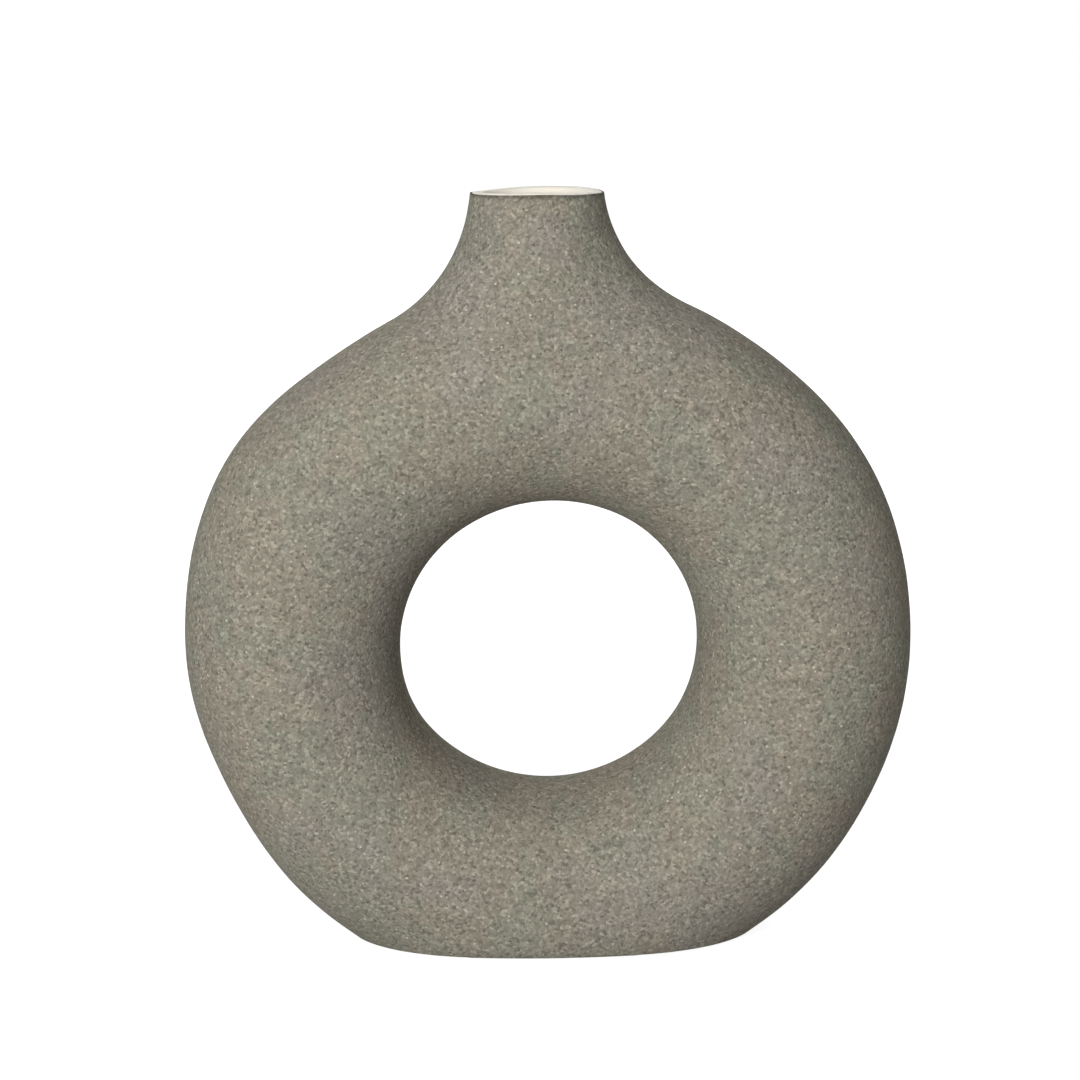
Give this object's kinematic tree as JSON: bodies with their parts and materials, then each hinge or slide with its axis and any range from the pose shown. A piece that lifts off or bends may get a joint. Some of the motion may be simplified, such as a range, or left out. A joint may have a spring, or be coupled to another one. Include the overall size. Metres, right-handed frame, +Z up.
{
  "type": "donut vase",
  "caption": "Ring-shaped ceramic vase with a round hole through it, a flat foot, a short flared neck, a sandy stone coat outside and a cream glazed inside.",
  "frame": {"origin": "middle of the foot, on the surface that the vase stands on", "axes": "+Z up along the neck, +Y from front to back along the axis of the ring and its hole, +X across the ring to the right seen from the front"},
  "size_m": [0.241, 0.077, 0.25],
  "materials": {
    "clay": "bare fired clay, pale cream, matt",
    "slip": "bare fired slip, pale cream, matt",
    "sand_coat": "matt sandy stone coat, grey taupe with fine light and dark grains",
    "glaze": "thin cream glaze, satin"
  },
  "bodies": {
    "root": {"front_shell": "clay", "back_shell": "clay", "outer_seam_slip": "slip", "hole_seam_slip": "slip", "sand_coat": "sand_coat", "inner_glaze": "glaze"}
  },
  "joints": []
}
